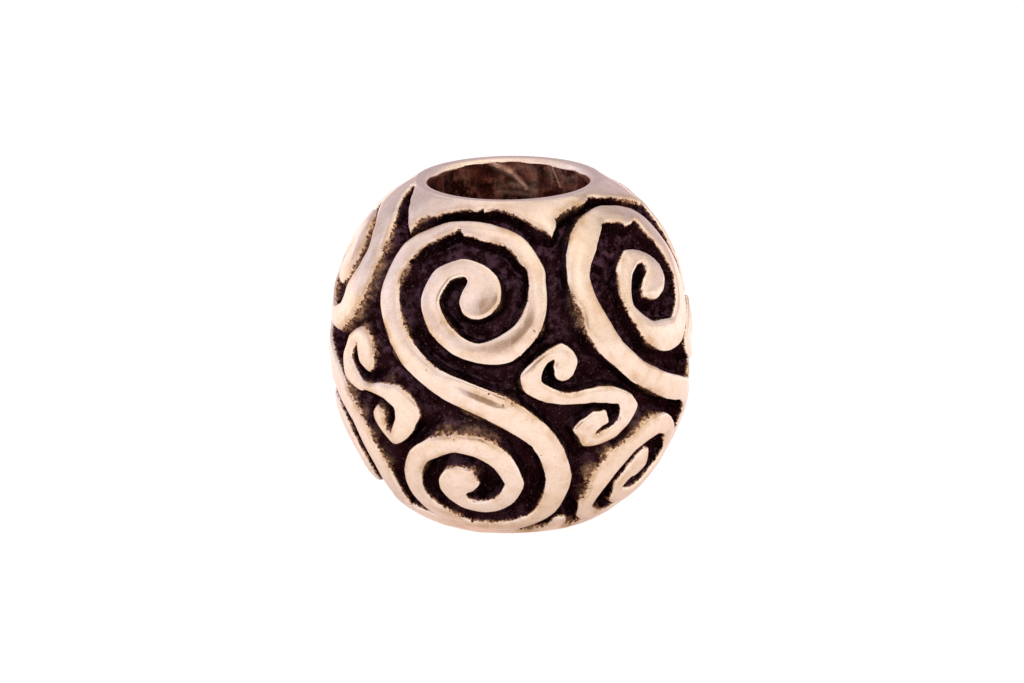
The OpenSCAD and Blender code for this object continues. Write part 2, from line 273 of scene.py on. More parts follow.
# Golden patches on the polished tops, partly tarnish and partly painted shade: longitude, latitude, length,
# width, turn, amount
STAINS_AND_SHADE = [
    (-8, 13, 1.1, 0.28, 8, 0.8), (1, 15, 0.55, 0.16, 42, 0.7), (-8, 27, 0.5, 0.3, 50, 0.7),
    (-9, -0.8, 0.9, 0.2, -22, 0.9), (-13, -54, 2.0, 0.30, 0, 0.8), (-30, -48, 1.0, 0.2, -35, 0.7),
    (10, -45, 0.8, 0.3, 60, 0.4), (-45, 9, 0.9, 0.40, 90, 1.0), (-37, 49, 0.7, 0.2, 40, 0.9),
    (-41, 36, 1.2, 0.2, 90, 0.8), (-58.5, 42, 1.0, 0.30, 75, 0.9), (-57, 32, 1.2, 0.36, 88, 1.0),
    (-60, 22, 1.0, 0.40, 62, 1.0), (-67, 13, 0.9, 0.40, 40, 1.0), (-73, 34, 1.5, 0.45, 65, 1.0),
    (-35, 5, 0.4, 0.3, 0, 0.5), (-59, -12, 1.6, 0.30, -55, 0.9), (-49, -27, 1.6, 0.22, -65, 0.7),
    (43, -1, 1.0, 0.2, -38, 0.9), (34, 6, 0.8, 0.15, -60, 0.5), (24, 0, 0.4, 0.2, 40, 0.6),
    (36, -24, 1.3, 0.3, 50, 0.6), (20, -28, 0.5, 0.4, 0, 0.6), (62, -30, 1.6, 0.5, 60, 0.8),
    (45, -36, 1.4, 0.35, 55, 0.5), (21, -12, 0.9, 0.25, -20, 0.6), (-28, -12, 0.6, 0.3, 30, 0.5),
    (-15, -34, 0.5, 0.4, 0, 0.3), (50, 20, 0.6, 0.3, 0, 0.7), (28, 50, 1.0, 0.12, 20, 0.7),
    (60, 50, 1.2, 0.15, -20, 0.6), (22, -35, 0.6, 0.3, -50, 0.6), (-20, -45, 1.0, 0.15, -10, 0.4),
    (29, 24, 1.4, 0.2, 80, 0.4),
]
# Casting pits: longitude, latitude, size, depth; the smallest are only dark dots
PITS = [
    (-40, 37.9, 0.065, 0.5), (-9, 35.3, 0.045, 0.2), (-18.7, -15.8, 0.045, 0.3), (-7, -0.3, 0.045, 0.3),
    (-2.7, -3.8, 0.045, 0.25), (0.1, -3.5, 0.05, 0.25), (9.3, -21, 0.045, 0.2), (13.9, -21.8, 0.045, 0.2),
    (7.4, 19, 0.05, 0.3), (9.5, 18, 0.05, 0.3), (8.2, 16.4, 0.045, 0.25), (3.8, 38.4, 0.04, 0.2),
    (6, 37.5, 0.04, 0.2), (-26.4, 26.3, 0.04, 0.2), (-22.8, 21, 0.04, 0.15), (-20, -52, 0.05, 0.2),
    (18, -27, 0.045, 0.2), (-39, 0, 0.04, 0.2), (19.5, -33, 0.045, 0.2), (22, -24, 0.045, 0.2),
    (-27, 6, 0.04, 0.2), (-22, 50, 0.04, 0.15), (41, 22, 0.04, 0.2), (44, 12, 0.04, 0.2), (52, 44, 0.04, 0.2),
    (31, -22, 0.045, 0.2), (33, -26, 0.045, 0.2), (-55, 40, 0.04, 0.2),
]
# Seam and scratches on the bore's wall: longitude and height of both ends, width, how high, how bare
BORE_MARKS = [
    (-163, 7.45, -172, 7.05, 0.10, 0.10, 1.0),
    (-172, 7.05, 178, 6.75, 0.14, 0.12, 1.0),
    (178, 6.75, 167, 6.05, 0.11, 0.09, 1.0),
    (147, 7.15, 139, 6.30, 0.05, 0.03, 0.9),
    (142, 7.1, 136, 6.6, 0.12, 0.0, 0.35),
    (-150, 7.0, -156, 6.2, 0.10, 0.0, 0.18),
    (165, 6.9, 158, 6.3, 0.14, 0.0, 0.22),
    (146, 6.9, 128, 6.4, 0.30, 0.0, 0.12),
    (-172, 5.9, 160, 5.75, 0.10, 0.02, 0.35),
    (174, 7.0, 160, 6.9, 0.16, 0.02, 0.28),
    (150, 7.0, 146, 6.75, 0.10, 0.0, 0.35),
    (178, 6.2, 160, 5.95, 0.12, 0.03, 0.5),
    (-140, 6.9, -150, 6.6, 0.10, 0.0, 0.2),
    (120, 7.0, 132, 6.7, 0.08, 0.0, 0.3),
    (-120, 7.1, -132, 6.9, 0.06, 0.0, 0.25),
]
# Edge of each collar: (longitude, latitude) round the seen side, then the same arch again behind
UPPER_COLLAR = [
    (-84, 60.6), (-74, 58.6), (-64, 55.3), (-56.5, 51.6), (-50.5, 48.1), (-48.2, 47.0), (-47.4, 48.7),
    (-47.2, 51.6), (-44.8, 52.8), (-38.8, 53.8), (-35.3, 55.5), (-30.5, 56.8), (-24, 58.0), (-18.1, 57.6),
    (-15.2, 59.1), (-13.5, 57.9), (-8.4, 58.7), (-3.7, 58.2), (0.8, 57.1), (4.3, 55.8), (7.5, 54.1),
    (12.7, 50.9), (17.1, 48.7), (18.6, 47.4), (20.4, 49.0), (22.2, 50.8), (24, 53.8), (28.4, 55.0),
    (38, 57.0), (45.7, 57.3), (50, 58.4), (54, 59.2), (58.6, 58.6), (63.5, 57.2), (71.7, 55.4), (80.7, 52.8),
    (87.2, 50.0), (93.3, 47.0),
]
LOWER_COLLAR = [
    (-62, 53.0), (-54, 49.9), (-47, 51.5), (-38, 56.0), (-24, 60.0), (-10, 60.6), (6, 60.3), (16, 60.6),
    (19.5, 58.3), (20.3, 53.4), (21.2, 51.7), (26, 52.6), (29, 55.5), (32, 59.0), (40, 60.4), (56, 60.4),
    (72, 59.0), (84, 54.0), (92, 49.8),
]
# One arch behind: longitude from its start, latitude
ARCH = [
    (6, 50.3), (12, 53.6), (20, 56.4), (30, 58.6), (40, 58.8), (50, 57.0), (59, 53.5), (67, 49.8), (72, 47.6),
]
PITCH = 72  # from one large scroll to the next
BEHIND = 93  # where the arches behind begin
UPPER_SHARE = 0.863 * 180 / 216  # its arches are drawn together, as its other end begins sooner
UPPER_END, LOWER_END = 300, 290  # points past these longitudes are left out
LOWER_RISE = 1.5
for start in (BEHIND, BEHIND + PITCH, BEHIND + 2 * PITCH):
    for along, lat in ARCH:
        if start + along < UPPER_END:
            UPPER_COLLAR.append((BEHIND + (start - BEHIND + along) * UPPER_SHARE, lat))
        if start + along < LOWER_END:
            LOWER_COLLAR.append((start + along, lat + LOWER_RISE))
COLLARS = [(1, UPPER_COLLAR), (-1, LOWER_COLLAR)]


def sway_at(turn, waves):
    """How far a reach is swayed at a turn, by three slow waves round the eye."""
    total = 0
    for count, (even, odd) in zip((1, 2, 3), waves.T):
        angle = math.radians(turn * count)
        total += even * math.cos(angle) + odd * math.sin(angle)
    return total * 0.5


def shifted(scroll, centre, sway, seed):
    """The same double curl about another centre, its reaches swayed a little so that no two are alike."""
    dice = np.random.default_rng(seed)
    moved = {"centre": centre}
    for name in ("upper", "lower"):
        curl = scroll[name]
        moved[name] = {"eye": tuple(np.array(curl["eye"]) + dice.normal(0, sway, 2))}
        waves = dice.normal(0, sway, (2, 3))
        for run in ("out", "back"):
            moved[name][run] = [(turn, reach + sway_at(turn, waves)) for turn, reach in curl[run]]
    return moved


# Scrolls drawn again behind: which one, how many pitches round, sway, seed
REPEATED = [
    (FRONT_LARGE, 2, 0.07, 12),
    (FRONT_LARGE, 3, 0.07, 13),
    (RIGHT_SMALL, 1, 0.04, 14),
    (RIGHT_SMALL, 2, 0.04, 15),
    (RIGHT_SMALL, 3, 0.04, 16),
]
SCROLLS = [FRONT_LARGE, RIGHT_LARGE, RIGHT_SMALL, LEFT_SMALL, LEFT_LARGE]
for scroll, steps, sway, seed in REPEATED:
    front_lon, front_lat = scroll["centre"]
    SCROLLS.append(shifted(scroll, (front_lon + steps * PITCH, front_lat), sway, seed))


# the barrel and its flat maps
def form(lat):
    """Distance from the bead's middle to the outer form at that latitude, in radians."""
    return ((np.cos(lat) / RADIUS) ** POWER + (np.abs(np.sin(lat)) / BARREL_HALF) ** POWER) ** (-1 / POWER)


def heading(lon, lat):
    """Direction from the bead's middle at a longitude and latitude, in radians."""
    return np.stack([np.cos(lat) * np.sin(lon), -np.cos(lat) * np.cos(lon), np.sin(lat)], -1)


def axes_at(centre):
    """Direction of a flat map's centre, and the directions of its across and up."""
    lon, lat = np.radians(centre)
    middle = heading(lon, lat)
    east = np.array([math.cos(lon), math.sin(lon), 0.0])
    return middle, east, np.cross(middle, east)


def from_map(points, centre):
    """Places in a flat map about a centre, as directions from the bead's middle."""
    middle, east, north = axes_at(centre)
    away = np.maximum(np.hypot(points[:, 0], points[:, 1]) / RADIUS, 1e-9)[:, None]
    flat = points[:, :1] * east + points[:, 1:] * north
    return middle * np.cos(away) + flat / RADIUS * np.sin(away) / away


def to_map(ways, centre):
    """Directions as places in the flat map about a centre."""
    middle, east, north = axes_at(centre)
    away = np.arccos(np.clip(ways @ middle, -1, 1))
    scale = RADIUS * away / np.maximum(np.sin(away), 1e-6)
    return np.stack([ways @ east * scale, ways @ north * scale], -1)


def on_barrel(ways):
    """Where directions from the middle meet the outer form."""
    return ways * form(np.arcsin(np.clip(ways[:, 2], -1, 1)))[:, None]


def near_spot(ways, lon, lat, size):
    """1 at a place on the bead, fading out over a size around it."""
    apart = 1 - ways @ heading(np.radians(lon), np.radians(lat))
    return np.exp(-apart * 2 * (RADIUS / size) ** 2)


def near_stroke(ways, lon, lat, length, width, turn):
    """1 at the middle of a short turned stroke on the bead, fading out along and across it."""
    flat = to_map(ways, (lon, lat))
    c, s = math.cos(math.radians(turn)), math.sin(math.radians(turn))
    along, across = flat[:, 0] * c + flat[:, 1] * s, flat[:, 1] * c - flat[:, 0] * s
    return np.exp(-((along / length) ** 2) - (across / width) ** 2)


def strongest(ways, shape, table):
    """At each place the most that any row of a table gives; its last column is the amount."""
    most = np.zeros(len(ways))
    for *where, amount in table:
        most = np.maximum(most, amount * shape(ways, *where))
    return most


# outlines as closed lines
def turned(eye, rows):
    """Points at the turns and reaches of a table's rows about an eye."""
    turn, reach = np.radians([r[0] for r in rows]), np.array([r[1] for r in rows])
    return np.stack([eye[0] + reach * np.cos(turn), eye[1] + reach * np.sin(turn)], -1)


def closed_line(points, step=0.09, facet=FACET):
    """A smooth closed line through the points, with some of the straight strokes between them kept."""
    made = []
    count = len(points)
    for i in range(count):
        a, b, c, d = (points[(i + k) % count] for k in (-1, 0, 1, 2))
        n = max(2, int(math.ceil(np.linalg.norm(c - b) / step)))
        t = (np.arange(n) / n)[:, None]
        square, cube = a - 2.5 * b + 2 * c - d / 2, 1.5 * (b - c) + (d - a) / 2
        curve = b + t * (c - a) / 2 + t**2 * square + t**3 * cube
        made.append((1 - facet) * curve + facet * (b + t * (c - b)))
    return np.concatenate(made)


def outline(scroll):
    """A scroll's closed line in its flat map."""
    if "outline" in scroll:
        return closed_line(np.array(scroll["outline"]), facet=0.15)
    upper, lower = scroll["upper"], scroll["lower"]
    return closed_line(np.concatenate([
        turned(upper["eye"], upper["out"]),
        turned(upper["eye"], upper["back"]),
        turned(lower["eye"], lower["out"]),
        turned(lower["eye"], lower["back"]),
    ]))


def inside(points, line):
    """Which points lie in a closed line, by counting the crossings to their right."""
    hit = np.zeros(len(points), bool)
    for (ax, ay), (bx, by) in zip(line, np.roll(line, -1, 0)):
        if ay == by:
            continue
        row = (points[:, 1] >= min(ay, by)) & (points[:, 1] < max(ay, by))
        cut = ax + (points[row, 1] - ay) * (bx - ax) / (by - ay)
        hit[row] ^= points[row, 0] < cut
    return hit


def collar_line(edge):
    """Latitude of a collar's edge at evenly spaced longitudes, through its measured places."""
    at = np.radians(np.arange(-180, 180, 0.25))
    lat = np.interp(at, np.radians([e[0] for e in edge]), np.radians([e[1] for e in edge]), period=2 * np.pi)
    return at, (np.roll(lat, 1) + 2 * lat + np.roll(lat, -1)) / 4


# By angle from the line of sight: how far a direction is pulled towards it, least behind
AWAY = np.radians(np.arange(0, 181, 1.0))
SEEN, HIDDEN = 1.22, 2.62
PULL_BEHIND = 0.0373 * np.clip((HIDDEN - AWAY) / (HIDDEN - SEEN), 0, 1)
PULL = np.where(AWAY < SEEN, AWAY - np.arcsin(DRAWN_IN * np.sin(AWAY)), PULL_BEHIND)


def draw_in(ways, undo=False):
    """Moves directions towards the line of sight by what the outlines were measured too large, or back."""
    away = np.arccos(np.clip(ways @ SIGHT, -1, 1))
    moved = np.interp(away, AWAY - PULL, AWAY) if undo else np.interp(away, AWAY, AWAY - PULL)
    side = ways - (ways @ SIGHT)[:, None] * SIGHT
    side /= np.maximum(np.linalg.norm(side, axis=1), 1e-9)[:, None]
    return SIGHT * np.cos(moved)[:, None] + side * np.sin(moved)[:, None]


# noise and steps
def ramp(x, low, high):
    """Smooth step from 0 at low to 1 at high."""
    t = np.clip((x - low) / (high - low), 0, 1)
    return t * t * (3 - 2 * t)


def noise(points, size, seed):
    """Smooth seeded noise in space, about -1 to 1."""
    table = np.random.default_rng(seed).uniform(-1, 1, 4096)
    p = points / size
    base = np.floor(p).astype(np.int64)
    t = p - base
    (x, y, z), (right, back, up) = base.T, (t * t * t * (t * (t * 6 - 15) + 10)).T
    total = 0
    for dx in (0, 1):
        for dy in (0, 1):
            for dz in (0, 1):
                key = (x + dx) * 73856093 ^ (y + dy) * 19349663 ^ (z + dz) * 83492791
                weight = (right if dx else 1 - right) * (back if dy else 1 - back) * (up if dz else 1 - up)
                total = total + table[key & 4095] * weight
    return total


def uneven(points, table):
    """The noises of a table, laid over each other."""
    return sum(high * noise(points, size, seed) for high, size, seed in table)


# signed distance to the relief
def in_scrolls(ways, lines, skip=None):
    """Which directions lie in one of the scrolls, not counting the skipped one."""
    hit = np.zeros(len(ways), bool)
    for k, (line, centre) in enumerate(lines):
        if k == skip:
            continue
        middle = axes_at(centre)[0]
        near = np.flatnonzero((ways @ middle > math.cos(WIDEST)) & ~hit)
        flat = to_map(ways[near], centre)
        boxed = ((flat > line.min(0)) & (flat < line.max(0))).all(1)
        near, flat = near[boxed], flat[boxed]
        hit[near] = inside(flat, line)
    return hit


def in_collars(ways):
    """Which directions lie in one of the two collars."""
    hit = np.zeros(len(ways), bool)
    lat, lon = np.arcsin(np.clip(ways[:, 2], -1, 1)), np.arctan2(ways[:, 0], -ways[:, 1])
    for end, edge in COLLARS:
        at, height = collar_line(edge)
        hit |= lat * end > np.interp(lon, at, height, period=2 * np.pi)
    return hit


def edge_strokes(lines):
    """Both ends, on the barrel, of the short strokes along every edge that no other relief covers."""
    runs = [(from_map(line, centre), k) for k, (line, centre) in enumerate(lines)]
    for end, edge in COLLARS:
        at, height = collar_line(edge)
        runs.append((heading(at, height * end), None))
    starts, ends = [], []
    for run, scroll in runs:
        following = np.roll(run, -1, 0)
        between = (run + following) / np.linalg.norm(run + following, axis=1)[:, None]
        covered = in_scrolls(between, lines, skip=scroll)
        if scroll is not None:
            covered |= in_collars(between)
        starts.append(on_barrel(draw_in(run))[~covered])
        ends.append(on_barrel(draw_in(following))[~covered])
    return np.concatenate(starts), np.concatenate(ends)


def distance_to(points, starts, ends, columns):
    """Distance from each point of the grid to the nearest stroke, measured block by block."""
    along = ends - starts
    squared = np.maximum((along**2).sum(1), 1e-12)
    middles = (starts + ends) / 2
    far = np.zeros(len(points))
    grid = np.arange(len(points)).reshape(-1, columns)
    for r in range(0, grid.shape[0], BLOCK):
        for c in range(0, columns, BLOCK):
            some = grid[r : r + BLOCK, c : c + BLOCK].ravel()
            block = points[some]
            hub = block.mean(0)
            spread = np.sqrt(((block - hub) ** 2).sum(1).max())
            gap = np.sqrt(((middles - hub) ** 2).sum(1))
            close = np.flatnonzero(gap < gap.min() + 2 * spread + 0.1)
            rel = block[:, None] - starts[close]
            share = np.clip((rel * along[close]).sum(2) / squared[close], 0, 1)
            away = rel - share[..., None] * along[close]
            far[some] = np.sqrt((away**2).sum(2).min(1))
    return far


def signed_distance(ways, columns):
    """Distance in millimetres from each direction to the nearest edge of the relief, plus inside it."""
    lines = [(outline(scroll), scroll["centre"]) for scroll in SCROLLS]
    far = distance_to(on_barrel(ways), *edge_strokes(lines), columns)
    measured = draw_in(ways, undo=True)
    return np.where(in_scrolls(measured, lines) | in_collars(measured), far, -far)


def facing_away(distance, ways, lat, columns):
    """How far each place slopes away from the line of sight across the nearest edge, -1 to 1."""
    field = distance.reshape(-1, columns)
    north = np.gradient(field, lat, axis=0).ravel()
    along = 2 * math.pi / columns * np.sqrt(1 - ways[:, 2] ** 2)
    east = (np.roll(field, -1, 1) - np.roll(field, 1, 1)).ravel() / 2 / along
    spread = np.maximum(np.hypot(north, east), 1e-6)
    flat = np.maximum(np.hypot(ways[:, 0], ways[:, 1]), 1e-6)
    easts = np.stack([-ways[:, 1] / flat, ways[:, 0] / flat, 0 * flat], -1)
    norths = np.cross(ways, easts)
    return ((easts @ SIGHT) * east + (norths @ SIGHT) * north) / spread


# the bead's rows, its side and its bore
def profile(step):
    """Rows up the side, over the upper rim, down the bore and back: radius, height, which rows are on the
    side, which are in the bore, and how far each lies from the bore's nearer end."""
    lat_end = math.atan2(HALF_HEIGHT, END_RADIUS)
    lat = np.linspace(-lat_end, lat_end, 4000)
    side = np.stack([form(lat) * np.cos(lat), form(lat) * np.sin(lat)], -1)
    top = np.array([(BORE + MOUTH, HALF_HEIGHT), (BORE, HALF_HEIGHT - MOUTH)])
    bottom = np.array([(BORE, MOUTH - HALF_HEIGHT), (BORE + MOUTH, -HALF_HEIGHT)])
    whole = np.concatenate([side, top, bottom, side[:1]])
    run = np.concatenate([[0], np.cumsum(np.hypot(*np.diff(whole, axis=0).T))])
    fine = np.arange(0, run[-1], SAMPLE)
    line = np.stack([np.interp(fine, run, whole[:, 0]), np.interp(fine, run, whole[:, 1])], -1)
    # Eases every corner of the profile, as polishing does
    reach = np.arange(-30, 31)
    kernel = np.exp(-0.5 * (reach * SAMPLE / EASED) ** 2)
    kernel /= kernel.sum()
    eased = sum(w * np.roll(line, -k, 0) for k, w in zip(reach, kernel))
    at_top, at_bore = run[len(side) - 1], run[len(side) + 1]
    past_bore, total = run[len(side) + 2], run[-1]
    # Rows lie closest on the side, and furthest apart deep in the bore
    rim_end, seen_end, deep_end = at_top + 0.8, at_bore + 3.5, past_bore - 0.3
    rows = np.concatenate([
        np.arange(0, rim_end, step),
        np.arange(rim_end, seen_end, step * 1.6)[1:],
        np.arange(seen_end, deep_end, step * 5)[1:],
        np.arange(deep_end, total - step, step * 1.6)[1:],
    ])
    radius = np.interp(rows, fine, eased[:, 0])
    height = np.interp(rows, fine, eased[:, 1])
    height -= TOP_WORN * ramp(height, HALF_HEIGHT - TOP_REACH, HALF_HEIGHT)
    in_bore = (rows > at_bore) & (rows < past_bore)
    return radius, height, rows <= at_top, in_bore, np.minimum(rows - at_bore, past_bore - rows)


def side_relief(ways, lat, columns):
    """How far each place on the side lies under the barrel, and the marks that its material is painted by."""
    spots = on_barrel(ways)
    distance = signed_distance(ways, columns)
    # The outlines follow the polish as seen from the front: over the rounding of an edge that faces away,
    # and a little down the wall of one that faces the eye
    away = facing_away(distance, ways, lat, columns)
    distance += SPREAD + LEAN * away * (ways @ SIGHT > -0.1) * np.exp(-((distance / LEAN_REACH) ** 2))
    distance += uneven(spots, OUTLINE_WAVER)

    shoulders = strongest(ways, near_spot, SOFT_SPOTS)
    fringe = 0.15 + 0.55 * ramp(noise(spots, 1.3, 8), -0.1, 0.6)
    soft = np.maximum(0.25 * fringe, shoulders)
    fringe = np.maximum(fringe, shoulders)
    inner = np.maximum(distance, 0)
    bend = EDGE_ROUND + SOFT_ROUND * soft
    short = np.clip(1 - inner / bend, 0, 1)
    high = RELIEF - bend * (1 - np.sqrt(1 - 0.72 * short**2)) - CROWN * np.exp(-inner / CROWN_REACH)
    high *= ramp(distance, -WALL - SOFT_WALL * soft, 0.05 + 0.05 * soft) ** (1 + 0.6 * soft)

    dents = uneven(spots, TOP_UNEVEN) - 0.008
    for *where, depth in HOLLOWS:
        dents -= depth * near_stroke(ways, *where) * (ways @ SIGHT > 0)
    on_top = ramp(distance, -WALL, 0.1)
    high += uneven(spots, GROUND_ROUGH) * (1 - on_top)
    worn = high + dents * on_top
    for lon_at, lat_at, size, depth in PITS:
        pit = depth * near_spot(ways, lon_at, lat_at, size)
        high, worn = high - pit, worn - (0.7 if size > TRUE_PIT else 0.15) * pit

    creep = strongest(ways, near_spot, CREEPS)
    marks = {
        "lift": high / RELIEF - CREEP * creep * np.exp(-inner / CREEP_REACH),
        "fringe": np.maximum(fringe, 0.75 * creep),
        # Golden patches: tarnish, and painted shade
        "stain": strongest(ways, near_stroke, STAINS_AND_SHADE),
    }
    return RELIEF - np.minimum(worn, RELIEF), marks


def round_bore(lon, since):
    """Millimetres along the bore's wall from a longitude in degrees to another, by the shorter way."""
    return ((lon - since + 180) % 360 - 180) * math.radians(BORE)


def bore_wall(places, deep, lon):
    """How far each place on the wall stands inside the true bore, and how polished and how bare it is."""
    lip = 0.06 + 0.32 * np.abs(places[:, 0] / BORE) ** 3 + uneven(places, LIP_WAVER)
    polished = 1 - ramp(deep, lip - 0.03, lip + 0.03)
    push = uneven(places, BORE_ROUGH)
    bare = np.zeros(len(places))
    for lon_a, high_a, lon_b, high_b, width, raised, shown in BORE_MARKS:
        start = np.array([round_bore(lon, lon_a), places[:, 2] - high_a])
        span = np.array([round_bore(lon_b, lon_a), high_b - high_a])
        share = np.clip((start * span[:, None]).sum(0) / (span**2).sum(), 0, 1)
        near = np.exp(-((start - share * span[:, None]) ** 2).sum(0) / width**2)
        push, bare = push + raised * near, np.maximum(bare, shown * near)
    return np.maximum(push, 0) * ramp(deep, 0.0, 0.25), polished, bare


def build_bead():
    """All points of the bead row by row, the marks on them, and the numbers of rows and columns."""
    radius, height, on_side, in_bore, deep = profile(GRID)
    rows, columns = len(radius), int(2 * math.pi * RADIUS / GRID / 16) * 16
    lon = np.linspace(-math.pi, math.pi, columns, endpoint=False)
    lat = np.arctan2(height, radius)
    points = heading(*np.meshgrid(lon, lat)) * np.hypot(radius, height)[:, None, None]
    marks = {name: np.zeros((rows, columns)) for name in MARKS}
    marks["lift"] += 1

    side = np.flatnonzero(on_side)
    ways = heading(*np.meshgrid(lon, lat[side])).reshape(-1, 3)
    depth, side_marks = side_relief(ways, lat[side], columns)
    points[side] -= (ways * depth[:, None]).reshape(len(side), columns, 3)
    for name, mark in side_marks.items():
        marks[name][side] = mark.reshape(len(side), columns)

    # The polish ends just inside the bore, whose wall keeps its seam and scratches
    bore = np.flatnonzero(in_bore)
    places = points[bore].reshape(-1, 3)
    deep = np.repeat(deep[bore], columns)
    push, polished, bare = bore_wall(places, deep, np.tile(np.degrees(lon), len(bore)))
    points[bore, :, :2] *= (1 - push / BORE).reshape(len(bore), columns, 1)
    marks["lift"][bore] = polished.reshape(len(bore), columns)
    marks["bare"][bore] = bare.reshape(len(bore), columns)

    points = points.reshape(-1, 3)
    points[:, 0] *= 1 - LEFT_FLAT * np.clip(-points[:, 0] / RADIUS, 0, 1) ** 2
    return points, {name: mark.ravel() for name, mark in marks.items()}, rows, columns


def closed_mesh(points, rows, columns, marks):
    """Mesh of a ring of rings, joined both ways, with a float attribute for each mark."""
    i, j = np.meshgrid(np.arange(rows), np.arange(columns), indexing="ij")
    i2, j2 = (i + 1) % rows, (j + 1) % columns
    quads = np.stack([i * columns + j, i * columns + j2, i2 * columns + j2, i2 * columns + j], -1).reshape(-1)
    mesh = bpy.data.meshes.new("raw")
    mesh.vertices.add(len(points))
    mesh.vertices.foreach_set("co", (points / 1000).astype(np.float32).ravel())
    mesh.loops.add(len(quads))
    mesh.loops.foreach_set("vertex_index", quads.astype(np.int32))
    mesh.polygons.add(len(quads) // 4)
    mesh.polygons.foreach_set("loop_start", np.arange(0, len(quads), 4, dtype=np.int32))
    mesh.update(calc_edges=True)
    for key, value in marks.items():
        mesh.attributes.new(key, "FLOAT", "POINT").data.foreach_set("value", value.astype(np.float32))
    return mesh


def placed(name, data):
    """A new object in the scene that holds the data."""
    made = bpy.data.objects.new(name, data)
    bpy.context.scene.collection.objects.link(made)
    return made


def thinned(mesh, name):
    """The mesh with about TRIANGLES left, fewest where it is smooth, and shaded smooth."""
    raw = placed("raw", mesh)
    thin = raw.modifiers.new("thin", "DECIMATE")
    thin.ratio = TRIANGLES / (2 * len(mesh.polygons))
    graph = bpy.context.evaluated_depsgraph_get()
    made = bpy.data.meshes.new_from_object(raw.evaluated_get(graph))
    bpy.data.objects.remove(raw)
    made.name = name
    made.polygons.foreach_set("use_smooth", np.ones(len(made.polygons), bool))
    return made


def casting():
    """The bead as one object, standing on the origin's level."""
    points, marks, rows, columns = build_bead()
    points[:, 2] += HALF_HEIGHT
    full = closed_mesh(points, rows, columns, marks)
    return placed("bead_casting", thinned(full, "bead_casting"))


# material
class Graph:
    """Short way to add and wire shader nodes."""

    def __init__(self, tree):
        self.tree = tree
        tree.nodes.clear()

    def add(self, kind, inputs=None, **settings):
        node = self.tree.nodes.new(kind)
        for key, value in settings.items():
            setattr(node, key, value)
        for key, value in (inputs or {}).items():
            if isinstance(value, bpy.types.NodeSocket):
                self.tree.links.new(value, node.inputs[key])
            else:
                node.inputs[key].default_value = value
        return node

    def math(self, operation, a, b):
        return self.add("ShaderNodeMath", {0: a, 1: b}, operation=operation).outputs[0]

    def times(self, a, b):
        return self.math("MULTIPLY", a, b)

    def ramp(self, value, low, high, to_low=0, to_high=1):
        inputs = {"Value": value, "From Min": low, "From Max": high, "To Min": to_low, "To Max": to_high}
        return self.add("ShaderNodeMapRange", inputs, interpolation_type="SMOOTHSTEP").outputs[0]

    def noise(self, place, scale, detail, rough=0.5):
        inputs = {"Vector": place, "Scale": scale, "Detail": detail, "Roughness": rough}
        return self.add("ShaderNodeTexNoise", inputs).outputs["Fac"]

    def parts(self, vector):
        return self.add("ShaderNodeSeparateXYZ", {0: vector}).outputs

    def place(self, kind):
        return self.add("ShaderNodeTexCoord").outputs[kind]

    def towards(self, way, aim):
        """How nearly a direction points at an aim: the cosine of the angle, for an aim of length 1."""
        return self.add("ShaderNodeVectorMath", {0: way, 1: aim}, operation="DOT_PRODUCT").outputs["Value"]

    def mix(self, share, a, b):
        node = self.add("ShaderNodeMix", data_type="RGBA")
        for socket, value in ((node.inputs[0], share), (node.inputs[6], a), (node.inputs[7], b)):
            if isinstance(value, bpy.types.NodeSocket):
                self.tree.links.new(value, socket)
            else:
                socket.default_value = value if socket.name == "Factor" else (*value, 1)
        return node.outputs[2]


def blank(name):
    """A new material, and the graph that its nodes go into."""
    material = bpy.data.materials.new(name)
    material.use_nodes = True
    return material, Graph(material.node_tree)


# Noises on the metal: scale per metre, detail, roughness
GRAINS = {
    "broad": (260, 2, 0.5),
    "patchy": (900, 3, 0.6),
    "streaky": (2200, 3, 0.65),
    "ragged": (7000, 3, 0.7),
    "fine": (11000, 2, 0.6),
}
# Colours of the metal, in linear red, green and blue
CREAM, WARM_CREAM = (0.925, 0.740, 0.637), (0.925, 0.728, 0.587)
CLOUD, STREAK, GRAIN = (0.82, 0.62, 0.455), (0.78, 0.575, 0.41), (0.68, 0.47, 0.35)
# On this line: a pale painted highlight for crisp edges, golden tarnish that also stands for painted shade,
# and brown specks
PAINTED_HIGHLIGHT, TARNISH_AND_SHADE, SPECK = (1.0, 0.93, 0.87), (0.61, 0.385, 0.215), (0.42, 0.25, 0.16)
BLACK, PURPLE = (0.010, 0.0018, 0.0022), (0.024, 0.0065, 0.0085)
# The lilac on this line is a painted sheen, the tent's light seen on ground that faces up
PAINTED_LILAC_SHEEN, PALE_DUST = (0.100, 0.045, 0.066), (0.19, 0.12, 0.14)
DARK_OCHRE, OCHRE = (0.055, 0.018, 0.012), (0.52, 0.275, 0.145)
DARK_BROWN, BROWN = (0.045, 0.020, 0.017), (0.27, 0.155, 0.095)
DARK_SKIN, SKIN = (0.022, 0.0030, 0.0018), (0.130, 0.028, 0.017)
SKIN_STREAK, SKIN_SPECK, BARE = (0.36, 0.115, 0.075), (0.36, 0.19, 0.14), (0.85, 0.50, 0.36)
PATINA_SHEEN, METAL_SHEEN = (0.14, 0.07, 0.09), (0.95, 0.85, 0.84)


def wear_of(g, n):
    """How much polish there is: the lift of the place, made ragged near the edges."""
    swing = g.times(g.ramp(n.fringe, 0, 1, 0.24, 0.72), g.ramp(n.lift, 0.91, 0.96, 1, 0.06))
    wear = g.math("ADD", n.lift, g.times(g.math("SUBTRACT", n.ragged, 0.5), swing))
    at_edge = g.ramp(n.lift, 0.93, 0.97, 1, 0)
    return g.math("SUBTRACT", wear, g.times(g.times(n.fringe, 0.06), at_edge))


